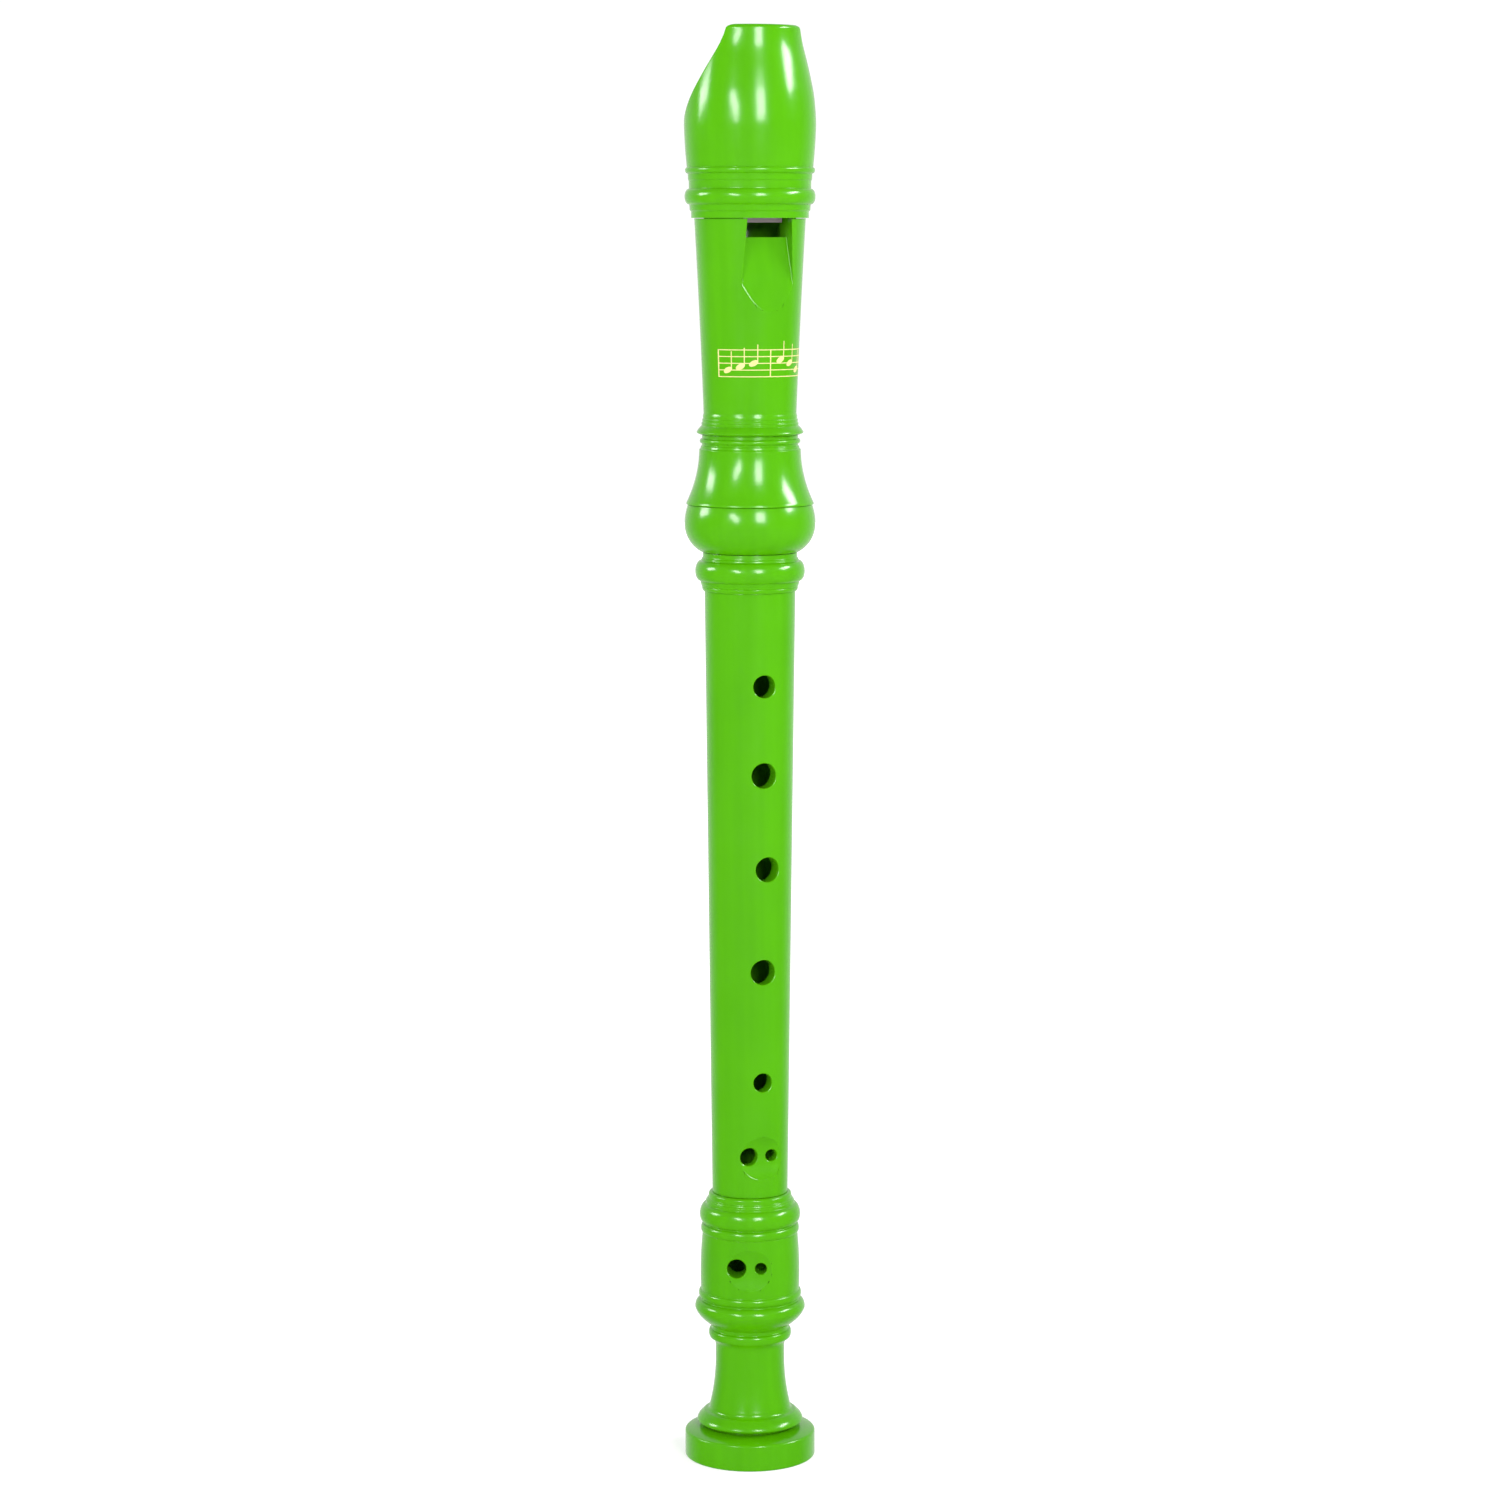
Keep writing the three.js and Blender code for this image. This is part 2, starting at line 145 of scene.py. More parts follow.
# Windway, window and labium, as distances in front of the axis.
WINDWAY_HALF_WIDTH = 4.8
ROOF = (8.2, 9.6)  # at the cap's lower edge and at the tip
FLOOR = (7.3, 8.5)
KEY_HALF_WIDTH = 5.3
WINDOW_TOP_HALF_WIDTH = 5.4
WINDOW_LOW_HALF_WIDTH = 6.5
WINDOW_BOTTOM = 283
RAMP_FOOT = 266.5
LABIUM_FRONT = 7.6
LABIUM_THICKNESS = 0.4
RELIEF_DEPTH = 4.4
RELIEF_HEIGHT = 8

# The cylinder across the back that hollows the beak.
UNDERCUT_RADIUS = 36
UNDERCUT_Y = 27.65
UNDERCUT_Z = 338
UNDERCUT_EDGE = 1.5  # how widely its edge is rounded
UNDERCUT_LOW = UNDERCUT_Z - UNDERCUT_RADIUS
LIP = 0.9  # rounding of the beak's tip

# Finger holes: height, diameter, turn about the axis in degrees.
MIDDLE_HOLES = [
    (181.9, 5.2, 0),
    (161.5, 5.8, 0),
    (139.8, 5.7, 6),
    (116, 5.8, 0),
    (90.2, 4.4, 0),
    (195, 5.3, 180),
]
# Double holes: height, (distance across, diameter) of each hole, height and radius of the dish.
SIXTH_HOLE = (72.7, [(-2.85, 4.2), (2.6, 2.75)], 72.3, 5.2)
SEVENTH_HOLE = (46.9, [(-3, 4.4), (2.6, 2.7)], 46.9, 5.2)
HOLE_EDGE = 0.3  # rounding of a hole's rim


# ---- outlines ----


def arc(centre_radius, centre_height, radius, from_deg, to_deg, steps=12):
    """Points on an arc; 0 degrees points away from the axis and 90 up."""
    points = []
    for i in range(steps + 1):
        angle = math.radians(from_deg + (to_deg - from_deg) * i / steps)
        points.append(
            (centre_radius + radius * math.cos(angle), centre_height + radius * math.sin(angle))
        )
    return points


def bead(lower, upper, proud, steps=20):
    """A half-round bead from one point up to another that stands out by proud."""
    points = []
    for i in range(steps + 1):
        turn = math.pi * i / steps
        along = (1 - math.cos(turn)) / 2
        radius = lower[0] + (upper[0] - lower[0]) * along + proud * math.sin(turn)
        points.append((radius, lower[1] + (upper[1] - lower[1]) * along))
    return points


def leaning(start, lean, end, steps=12):
    """A curve from start to end that leans towards a third point."""
    points = []
    for i in range(steps + 1):
        t = i / steps
        weights = ((1 - t) ** 2, 2 * t * (1 - t), t * t)
        points.append(
            tuple(sum(w * p[k] for w, p in zip(weights, (start, lean, end))) for k in (0, 1))
        )
    return points


def softened(outline, radius=EDGE_SOFTNESS, steps=4):
    """The closed outline with each of its corners rounded."""
    same_point = 1e-4
    longest_share = 0.45  # of a side, which leaves room for the rounding at its other end
    kept = [p for i, p in enumerate(outline) if math.dist(p, outline[i - 1]) > same_point]
    points = []
    for i, corner in enumerate(kept):
        here = Vector(corner)
        back = Vector(kept[i - 1]) - here
        ahead = Vector(kept[(i + 1) % len(kept)]) - here
        if (-back).angle(ahead) < CORNER_TURN:
            points.append(corner)
            continue
        reach = min(radius, longest_share * back.length, longest_share * ahead.length)
        start = here + back.normalized() * reach
        end = here + ahead.normalized() * reach
        points += leaning(tuple(start), corner, tuple(end), steps)
    return points


def straight(start, end, spacing):
    """Points along a line, so that a long wall has rows for the cuts to meet."""
    steps = max(1, round(math.dist(start, end) / spacing))
    return [
        tuple(start[k] + (end[k] - start[k]) * i / steps for k in (0, 1)) for i in range(steps + 1)
    ]


def curved(radius_at, bottom, top, rows):
    """Points up a wall whose radius depends on the height."""
    heights = [bottom + (top - bottom) * i / rows for i in range(rows + 1)]
    return [(radius_at(height), height) for height in heights]


def tube_radius(height):
    """Outside of the middle's tube."""
    share = (height - TUBE_BOTTOM) / (TUBE_TOP - TUBE_BOTTOM)
    return TUBE_RADIUS_BOTTOM + (TUBE_RADIUS_TOP - TUBE_RADIUS_BOTTOM) * share


def barrel_radius(height):
    """Outside of the head's barrel."""
    share = (height - BARREL_START) / (CAP_BOTTOM - SEAM - BARREL_START)
    widening = (BARREL_RADIUS_TOP - BARREL_RADIUS_BOTTOM) * share
    return BARREL_RADIUS_BOTTOM + widening - BARREL_SAG * share * (1 - share)


RAMP_SLOPE = (barrel_radius(RAMP_FOOT) - LABIUM_FRONT) / (WINDOW_BOTTOM - RAMP_FOOT)
WINDOW_FLARE = (WINDOW_LOW_HALF_WIDTH - WINDOW_TOP_HALF_WIDTH) / (CAP_BOTTOM - RAMP_FOOT)


def foot_radius(height):
    """Outside of the foot's barrel."""
    sag = FOOT_CURVE - math.sqrt(max(0, FOOT_CURVE**2 - (height - FOOT_MIDDLE) ** 2))
    return FOOT_RADIUS - sag


def smooth_radius(points, height):
    """The radius at a height on a smooth curve through (radius, height) points."""
    for i in range(len(points) - 1):
        if height <= points[i + 1][1] or i == len(points) - 2:
            break
    (r0, z0), (r1, z1) = points[i], points[i + 1]
    slopes = []
    for k in (i, i + 1):
        before = points[max(k - 1, 0)]
        after = points[min(k + 1, len(points) - 1)]
        slopes.append((after[0] - before[0]) / (after[1] - before[1]))
    span = z1 - z0
    t = (height - z0) / span
    rise = (1 + 2 * t) * (1 - t) ** 2 * r0 + t * t * (3 - 2 * t) * r1
    return rise + span * (t * (1 - t) ** 2 * slopes[0] - t * t * (1 - t) * slopes[1])


# ---- meshes, in millimetres ----


def solid(name, rings, closed):
    """A closed mesh over rings of points. A closed stack joins its last ring to its first."""
    count = len(rings[0])
    points = [p for ring in rings for p in ring]
    faces = []
    for i in range(len(rings) if closed else len(rings) - 1):
        this = i * count
        following = (i + 1) % len(rings) * count
        for k in range(count):
            beside = (k + 1) % count
            faces.append((this + k, this + beside, following + beside, following + k))
    if not closed:
        faces.append(tuple(range(count)))
        faces.append(tuple(len(points) - count + k for k in range(count)))
    data = bpy.data.meshes.new(name)
    data.from_pydata(points, [], faces)
    shape = bmesh.new()
    shape.from_mesh(data)
    bmesh.ops.recalc_face_normals(shape, faces=shape.faces)
    shape.to_mesh(data)
    shape.free()
    piece = bpy.data.objects.new(name, data)
    bpy.context.scene.collection.objects.link(piece)
    return piece


def ring(radius, height, sides=SIDES):
    """A level circle of points."""
    return [
        (radius * math.cos(2 * math.pi * k / sides), radius * math.sin(2 * math.pi * k / sides), height)
        for k in range(sides)
    ]


def turned(name, outline):
    """Turns a closed outline that stays off the axis."""
    return solid(name, [ring(radius, height) for radius, height in outline], closed=True)


def rod(radius, bottom, top):
    return solid("rod", [ring(radius, bottom), ring(radius, top)], closed=False)


def prism(outline, half_width):
    """A prism along X from (y, z) points."""
    sides = [[(x, y, z) for y, z in outline] for x in (-half_width, half_width)]
    return solid("prism", sides, closed=False)


def cross_cylinder(radius, y, z, half_length=20, sides=240):
    """A cylinder across the instrument, along X."""
    circle = [2 * math.pi * k / sides for k in range(sides)]
    ends = [
        [(x, y + radius * math.cos(a), z + radius * math.sin(a)) for a in circle]
        for x in (-half_length, half_length)
    ]
    return solid("cylinder", ends, closed=False)


def combine(piece, tool, operation):
    """Joins, cuts or intersects a piece with a tool, which is used up."""
    change = piece.modifiers.new("combine", "BOOLEAN")
    change.operation = operation
    change.solver = "EXACT"
    change.object = tool
    seen = piece.evaluated_get(bpy.context.evaluated_depsgraph_get())
    made = bpy.data.meshes.new_from_object(seen)
    piece.modifiers.clear()
    piece.data = made
    bpy.data.objects.remove(tool)
    return piece


def cut(piece, tool):
    return combine(piece, tool, "DIFFERENCE")


def wall_normal(radius_at):
    """A function that gives the outward normal at a point of a turned wall, or None off it."""
    step = 0.1

    def normal(point):
        radius = math.hypot(point.x, point.y)
        if abs(radius - radius_at(point.z)) > ON_SURFACE:
            return None
        slope = (radius_at(point.z + step) - radius_at(point.z - step)) / (2 * step)
        return Vector((point.x / radius, point.y / radius, -slope)).normalized()

    return normal


def lies_on(corners, face_normal, surface):
    """True where a face is part of a surface, from its corners and its own normal."""
    normals = [surface(corner) for corner in corners]
    if any(normal is None for normal in normals):
        return False
    middle = sum(normals, Vector((0, 0, 0))).normalized()
    return middle.dot(face_normal) > SAME_FACING


def cut_softly(piece, tool, surface, wanted):
    """Cuts, then rounds the edges that the cut leaves on the outside wall, where wanted(point)."""
    cut(piece, tool)
    shape = bmesh.new()
    shape.from_mesh(piece.data)
    bmesh.ops.remove_doubles(shape, verts=shape.verts, dist=WELD)
    on_wall = {f: lies_on([v.co for v in f.verts], f.normal, surface) for f in shape.faces}
    rim = [
        edge
        for edge in shape.edges
        if len(edge.link_faces) == 2
        and on_wall[edge.link_faces[0]] != on_wall[edge.link_faces[1]]
        and edge.calc_face_angle() > FLAT_TURN
        and all(surface(v.co) is not None and wanted(v.co) for v in edge.verts)
    ]
    bmesh.ops.bevel(
        shape,
        geom=rim,
        offset=CUT_SOFTNESS,
        segments=4,
        profile=0.5,
        affect="EDGES",
        clamp_overlap=False,
        loop_slide=False,
    )
    shape.to_mesh(piece.data)
    shape.free()
    return piece


def hole_tool(across, height, diameter, surface):
    """The tool for a round hole from the axis out, with a rounded rim that follows the surface.
    surface(x, z) is how far the outside is in front of the axis there."""
    sides = 64
    rim_steps = 5
    rim_turn_deg = 66
    flare = 0.35  # length of the straight cone that ends the rounding
    radius = diameter / 2
    section = [(radius, None)]
    for i in range(rim_steps + 1):
        angle = math.radians(rim_turn_deg * i / rim_steps)
        section.append(
            (radius + HOLE_EDGE * (1 - math.cos(angle)), HOLE_EDGE * (1 - math.sin(angle)))
        )
    last_radius, last_depth = section[-1]
    widest = last_radius + flare * math.sin(angle)
    section.append((widest, last_depth - flare * math.cos(angle)))
    section.append((widest, -3 * PAST))
    rings = []
    for reach, depth in section:
        circle = []
        for k in range(sides):
            angle = 2 * math.pi * k / sides
            x = across + reach * math.cos(angle)
            z = height + reach * math.sin(angle)
            circle.append((x, 0 if depth is None else depth - surface(x, z), z))
        rings.append(circle)
    return solid("hole", rings, closed=False)


def round_hole(piece, height, diameter, turn_deg):
    def surface(x, z):
        return math.sqrt(tube_radius(z) ** 2 - x * x)

    tool = hole_tool(0, height, diameter, surface)
    tool.data.transform(Matrix.Rotation(math.radians(turn_deg), 4, "Z"))
    return cut(piece, tool)


def dish_place(hole, outside):
    """Radius, y and z of the cylinder that cuts a dish. It is as fat as the tube."""
    dish_height, dish_radius = hole[2:]
    fat = outside(dish_height)
    return fat, dish_radius**2 / (2 * fat) - 2 * fat, dish_height


def dish_normal(hole, outside):
    """A function that gives the normal at a point of a dish, or None off it."""
    fat, cylinder_y, cylinder_z = dish_place(hole, outside)

    def normal(point):
        inward = Vector((0, cylinder_y - point.y, cylinder_z - point.z))
        if abs(inward.length - fat) > ON_SURFACE:
            return None
        return inward.normalized()

    return normal


def double_hole(piece, hole, outside):
    """A large and a small hole in one dish. Near the holes the dish's rim stays sharp."""
    height, holes, _, dish_radius = hole
    fat, cylinder_y, cylinder_z = dish_place(hole, outside)
    margin = 1
    clear_of_holes = 0.6

    def surface(x, z):
        tube = math.sqrt(outside(z) ** 2 - x * x)
        dished = -cylinder_y - math.sqrt(max(0, fat**2 - (z - cylinder_z) ** 2))
        return min(tube, dished)

    def on_rim(point):
        apart = [
            math.hypot(point.x - across, point.z - height) - diameter / 2
            for across, diameter in holes
        ]
        near_dish = point.y < 0 and abs(point.z - cylinder_z) < dish_radius + margin
        return near_dish and min(apart) > clear_of_holes

    for across, diameter in holes:
        cut(piece, hole_tool(across, height, diameter, surface))
    dish = cross_cylinder(fat, cylinder_y, cylinder_z)
    return cut_softly(piece, dish, wall_normal(outside), on_rim)


def shade(piece, surfaces):
    """Smooth shading that follows the given surfaces exactly, and breaks where a cut begins."""
    data = piece.data
    data.shade_smooth()
    data.set_sharp_from_angle(angle=SHARP_TURN)
    if not surfaces:
        return
    points = [vertex.co.copy() for vertex in data.vertices]
    exact = {}
    for face in data.polygons:
        corners = [points[v] for v in face.vertices]
        for surface in surfaces:
            if lies_on(corners, face.normal, surface):
                exact[face.index] = surface
                break
    faces_of_edge = {}
    for face in data.polygons:
        for key in face.edge_keys:
            faces_of_edge.setdefault(key, []).append(exact.get(face.index))
    for edge in data.edges:
        beside = faces_of_edge[edge.key]
        if len(beside) == 2 and beside[0] is not beside[1]:
            edge.use_edge_sharp = True
    normals = [Vector(normal.vector) for normal in data.corner_normals]
    for face in data.polygons:
        surface = exact.get(face.index)
        if surface:
            for corner, vertex in zip(face.loop_indices, face.vertices):
                normals[corner] = surface(points[vertex])
    data.normals_split_custom_set(normals)


def placed(piece, name, material, body, node=None, turn_deg=0, surfaces=()):
    """Shades a finished mesh, turns it, scales it to metres and hands it to the frame."""
    piece.name = name
    shade(piece, surfaces)
    scale = Matrix.Scale(MM, 4)
    piece.data.transform(scale @ Matrix.Rotation(math.radians(turn_deg), 4, "Z"))
    piece.data.materials.clear()
    piece.data.materials.append(material)
    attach(piece, body)
    if node:
        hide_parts(node)
    return piece


# ---- beak ----

# The side of the beak from its upper bead to the tip, as (radius, height).
BEAK_CURVE = [
    (14.28, 298.8),
    (14.65, 303),
    (14.88, 307.5),
    (14.86, 309.5),
    (14.7, 312),
    (14.49, 314),
    (14.18, 316),
    (13.33, 320),
    (12.38, 324),
    (12.08, 325.5),
    (11.88, 327),
    (11.77, 328.5),
    (11.72, 330),
]


def undercut_back(height):
    """How far behind the axis the beak's hollowed back is at a height."""
    return UNDERCUT_Y - math.sqrt(UNDERCUT_RADIUS**2 - (height - UNDERCUT_Z) ** 2)


def blend_least(a, b, width):
    """The smaller of two numbers, rounded off where they are close."""
    closeness = max(width - abs(a - b), 0) / width
    return min(a, b) - closeness * closeness * width / 4


def beak_slice(radius, height, inset):
    """One level of the beak: a circle whose back is cut off, with rounded corners."""
    flat = undercut_back(height) - inset if height > UNDERCUT_LOW else math.inf
    if flat > radius + UNDERCUT_EDGE:
        return ring(radius, height, BEAK_SIDES)
    centre = (min(flat, radius) - radius) / 2
    fine = []
    samples = 8 * BEAK_SIDES
    for k in range(samples):
        angle = 2 * math.pi * k / samples
        across = math.cos(angle)
        back = math.sin(angle)
        along = centre * back
        to_circle = -along + math.sqrt(along * along - centre * centre + radius * radius)
        to_flat = (flat - centre) / back if back > 1e-6 else math.inf
        reach = blend_least(to_circle, to_flat, UNDERCUT_EDGE)
        fine.append((reach * across, centre + reach * back, height))
    return spread_evenly(fine, BEAK_SIDES)


def spread_evenly(loop, count):
    """The same loop drawn with points an equal distance apart."""
    lengths = [math.dist(p, loop[(i + 1) % len(loop)]) for i, p in enumerate(loop)]
    step = sum(lengths) / count
    points = []
    gone = 0
    for i, length in enumerate(lengths):
        while len(points) < count and len(points) * step <= gone + length:
            share = (len(points) * step - gone) / length
            points.append(tuple(Vector(loop[i]).lerp(Vector(loop[(i + 1) % len(loop)]), share)))
        gone += length
    return points


def beak_form(name, outline):
    """The beak's outside as one solid: the given outline, then the beak's curve up to the tip."""
    row = 0.6
    rows_along_hollow = 110
    rows_round_lip = 9
    least_row = 0.1
    levels = [(radius, height, 0) for radius, height in outline]
    height = outline[-1][1] + row
    while height < UNDERCUT_LOW - least_row:
        levels.append((smooth_radius(BEAK_CURVE, height), height, 0))
        height += row
    lip_start = TOP - LIP
    last = math.acos((UNDERCUT_Z - lip_start) / UNDERCUT_RADIUS)
    for i in range(1, rows_along_hollow + 1):
        height = UNDERCUT_Z - UNDERCUT_RADIUS * math.cos(last * i / rows_along_hollow)
        levels.append((smooth_radius(BEAK_CURVE, height), height, 0))
    for i in range(1, rows_round_lip + 1):
        angle = math.pi / 2 * i / rows_round_lip
        height = lip_start + LIP * math.sin(angle)
        inset = LIP * (1 - math.cos(angle))
        levels.append((smooth_radius(BEAK_CURVE, height) - inset, height, inset))
    return solid(name, [beak_slice(*level) for level in levels], closed=False)


def behind_plane(distances, bottom, half_width):
    """Everything between the axis and a sloping plane in front of it. The distances from the
    axis are at the cap's lower edge and at the tip."""
    slope = (distances[1] - distances[0]) / (TOP - CAP_BOTTOM)
    top = TOP + 2 * PAST

    def front(height):
        return -(distances[0] + slope * (height - CAP_BOTTOM))

    return prism([(front(bottom), bottom), (0, bottom), (0, top), (front(top), top)], half_width)


def beak_cap():
    """The shell. Its outline is drawn a little past the form's own points on both sides, so that
    the corners there are rounded too, and the extra points are dropped."""
    inner = (1, CAP_BOTTOM)
    outline = softened(
        [
            inner,
            (13.28, CAP_BOTTOM),
            (13.3, 288.75),
            (13.6, 289.05),
            (13.68, 290.15),
            *bead((13.8, 290.35), (13.8, 293.85), 0.97),
            (13.8, 294.1),
            (13.82, 295.6),
            (14.0, 295.9),
            (14.05, 297.1),
            *bead((14.15, 297.25), (14.25, 298.6), 0.45, 12),
            BEAK_CURVE[0],
            BEAK_CURVE[1],
            (inner[0], BEAK_CURVE[1][1]),
        ]
    )
    outer = [p for p in outline if p[0] > 2 * inner[0] and p[1] <= BEAK_CURVE[0][1]]
    cap = beak_form("cap", outer)
    cut(cap, rod(SPIGOT + SEAM, CAP_BOTTOM - PAST, SPIGOT_TOP + SEAM))
    key_front = -SPIGOT - PAST
    key_back = -HEAD_BORE + PAST / 2
    key_top = SPIGOT_TOP + PAST
    key = [
        (key_front, CAP_BOTTOM),
        (key_back, CAP_BOTTOM),
        (key_back, key_top),
        (key_front, key_top),
    ]
    combine(cap, prism(key, KEY_HALF_WIDTH), "UNION")
    cut(cap, rod(HEAD_BORE, CAP_BOTTOM - 1.5 * PAST, TOP + PAST))
    cut(cap, behind_plane(ROOF, CAP_BOTTOM - 2 * PAST, WINDWAY_HALF_WIDTH))
    return cap


def windway_block():
    """The plug in the bore with the windway's floor on its front, cut off by the beak's form."""
    block = rod(HEAD_BORE - SEAM, BLOCK_BOTTOM, TOP + PAST)
    combine(block, behind_plane(FLOOR, BLOCK_BOTTOM, WINDWAY_HALF_WIDTH - SEAM), "UNION")
    below_curve = [(13.3, BLOCK_BOTTOM - PAST), (13.5, 290), (14.0, 295)]
    return combine(block, beak_form("form", [*below_curve, BEAK_CURVE[0]]), "INTERSECT")


# ---- barrel ----


def ramp_front(height):
    """How far the ramp's plane is in front of the axis."""
    return LABIUM_FRONT + RAMP_SLOPE * (WINDOW_BOTTOM - height)


def ramp_normal(point):
    if abs(-point.y - ramp_front(point.z)) > ON_SURFACE:
        return None
    return Vector((0, -1, RAMP_SLOPE)).normalized()


def window_half_width(height):
    return WINDOW_TOP_HALF_WIDTH + WINDOW_FLARE * (CAP_BOTTOM - height)


def window_side_normal(point):
    if abs(abs(point.x) - window_half_width(point.z)) > ON_SURFACE:
        return None
    return Vector((-math.copysign(1, point.x), 0, -WINDOW_FLARE)).normalized()


def window_tool():
    """The window and the ramp below it, lofted upwards with rounded inner corners."""
    reach = 16
    thinnest = 0.5  # at the tool's lowest level, in front of the barrel
    lowest = WINDOW_BOTTOM - (reach - LABIUM_FRONT - thinnest) / RAMP_SLOPE
    fillet = 0.12
    steps = 6
    nearly_level = 0.02
    overlap = 0.4

    def level(height, back):
        half = window_half_width(height)
        corners = []
        for side in (1, -1):
            order = range(steps + 1) if side > 0 else range(steps, -1, -1)
            for i in order:
                angle = math.radians(90 * i / steps)
                x = side * (half - fillet + fillet * math.cos(angle))
                corners.append((x, -back - fillet + fillet * math.sin(angle), height))
        return [(half, -reach, height), *corners, (-half, -reach, height)]

    deepest = HEAD_BORE - RELIEF_DEPTH
    levels = [
        (lowest, ramp_front(lowest)),
        (WINDOW_BOTTOM, LABIUM_FRONT),
        (WINDOW_BOTTOM + nearly_level, deepest),
        (CAP_BOTTOM + overlap, deepest),
    ]
    return solid("window", [level(*place) for place in levels], closed=False)


def labium_relief():
    """The hollow behind the labium, which leaves it as a thin edge."""
    under = LABIUM_FRONT - LABIUM_THICKNESS
    overlap = 0.3
    top = WINDOW_BOTTOM + overlap
    bottom = WINDOW_BOTTOM - RELIEF_HEIGHT
    wedge = [(-under, top), (-RELIEF_DEPTH, bottom), (0, bottom), (0, top)]
    return prism(wedge, WINDOW_TOP_HALF_WIDTH)


def barrel_rings():
    """The three fine steps at the foot of the barrel."""
    tops = (241.25, 242.05, 242.85)
    step = 0.16
    tall = 0.62
    lean = 0.03
    points = []
    for i, height in enumerate(tops):
        radius = BARREL_RADIUS_BOTTOM + step * (len(tops) - i)
        points += [(radius - lean, height - tall), (radius, height)]
    return points


def head_barrel():
    socket = UPPER_TENON + SOCKET_CLEARANCE
    socket_end = UPPER_TENON_TOP + 0.4  # just past the tenon
    spigot_low = CAP_BOTTOM - SEAM
    barrel = turned(
        "barrel",
        softened(
            [
                (socket, BARREL_BOTTOM),
                (SLEEVE, BARREL_BOTTOM),
                (SLEEVE, FERRULE_TOP + SEAM),
                (10.95, FERRULE_TOP + SEAM),
                (12.0, 238.9),
                *leaning((12.15, 239.15), (11.85, 239.85), (11.12, 240.55)),
                *barrel_rings(),
                *curved(barrel_radius, BARREL_START, spigot_low, 30),
                (SPIGOT, spigot_low),
                (SPIGOT, SPIGOT_TOP),
                (HEAD_BORE, SPIGOT_TOP),
                (HEAD_BORE, socket_end),
                (socket, socket_end),
            ]
        ),
    )
    cut(barrel, labium_relief())
    front = -SPIGOT - 3 * PAST
    over = SPIGOT_TOP + PAST
    notch = [(front, spigot_low), (-PAST, spigot_low), (-PAST, over), (front, over)]
    cut(barrel, prism(notch, KEY_HALF_WIDTH + SEAM))

    def on_rim(point):
        below_cap = 0.4
        return point.y < 0 and point.z < spigot_low - below_cap

    return cut_softly(barrel, window_tool(), wall_normal(barrel_radius), on_rim)


def head_ferrule():
    inside = SLEEVE + SEAM
    ledge = RING_TOP + SEAM
    bell_bottom = ledge + 0.35
    bell_top = 235.25
    waist_radius = 11.55
    waist_height = 235.5
    widening = 0.0191

    def bell_radius(height):
        return waist_radius + widening * (waist_height - height) ** 2

    return turned(
        "ferrule",
        softened(
            [
                (inside, ledge),
                (14.5, ledge),
                *curved(bell_radius, bell_bottom, bell_top, 28),
                (11.25, 235.5),
                (11.17, 236.0),
                (10.95, 236.15),
                *bead((10.95, 236.6), (10.9, 237.75), 0.5, 14),
                (10.9, FERRULE_TOP + SEAM - TIGHT_SEAM),
                (inside, FERRULE_TOP + SEAM - TIGHT_SEAM),
            ]
        ),
    )


def head_socket_ring():
    socket = UPPER_TENON + SOCKET_CLEARANCE
    bulge = 218.3
    return turned(
        "ring",
        softened(
            [
                (socket, RING_BOTTOM),
                *arc(7.7, bulge, 7.2, -62, 0, 26),
                *arc(1.8, bulge, 13.1, 1, 18.6, 12),
                (14.15, RING_TOP),
                (socket, RING_TOP),
            ]
        ),
    )


# ---- middle ----


def grooves(radius, heights):
    """Square grease grooves in a tenon."""
    floor = radius - GROOVE_DEPTH
    points = []
    for height in heights:
        points += [(radius, height), (floor, height)]
        points += [(floor, height + GROOVE_WIDTH), (radius, height + GROOVE_WIDTH)]
    return points


def middle_tube():
    lead = 0.6
    wall_spacing = 1.6
    bore_spacing = 6
    tube = turned(
        "tube",
        softened(
            [
                (LOWER_TENON - lead / 2, LOWER_TENON_BOTTOM),
                (LOWER_TENON, LOWER_TENON_BOTTOM + lead),
                *grooves(LOWER_TENON, (54, 58.5)),
                (LOWER_TENON, TUBE_BOTTOM),
                *straight(
                    (TUBE_RADIUS_BOTTOM, TUBE_BOTTOM), (TUBE_RADIUS_TOP, TUBE_TOP), wall_spacing
                ),
                (UPPER_TENON, TUBE_TOP),
                *grooves(UPPER_TENON, (215.5, 220.5, 225.5)),
                (UPPER_TENON, UPPER_TENON_TOP - lead),
                (UPPER_TENON - lead / 2, UPPER_TENON_TOP),
                *straight(
                    (MIDDLE_BORE_TOP, UPPER_TENON_TOP),
                    (MIDDLE_BORE_BOTTOM, LOWER_TENON_BOTTOM),
                    bore_spacing,
                ),
            ]
        ),
    )
    for height, diameter, turn_deg in MIDDLE_HOLES:
        round_hole(tube, height, diameter, turn_deg)
    return double_hole(tube, SIXTH_HOLE, tube_radius)


def middle_collar():
    inside = UPPER_TENON + SEAM
    return turned(
        "collar",
        softened(
            [
                (inside, COLLAR_BOTTOM),
                (10.74, COLLAR_BOTTOM),
                *bead((10.76, 203.3), (10.86, 204.0), 0.13, 10),
                (11.08, 204.15),
                (11.14, 204.6),
                (11.25, 204.75),
                (11.28, 205.25),
                *bead((11.32, 205.35), (11.2, 210.0), 1.25, 26),
                (11.08, 210.15),
                (11.04, 210.5),
                (10.8, 210.7),
                (10.76, 210.95),
                (10.76, COLLAR_TOP),
                (inside, COLLAR_TOP),
            ]
        ),
    )


# ---- foot ----


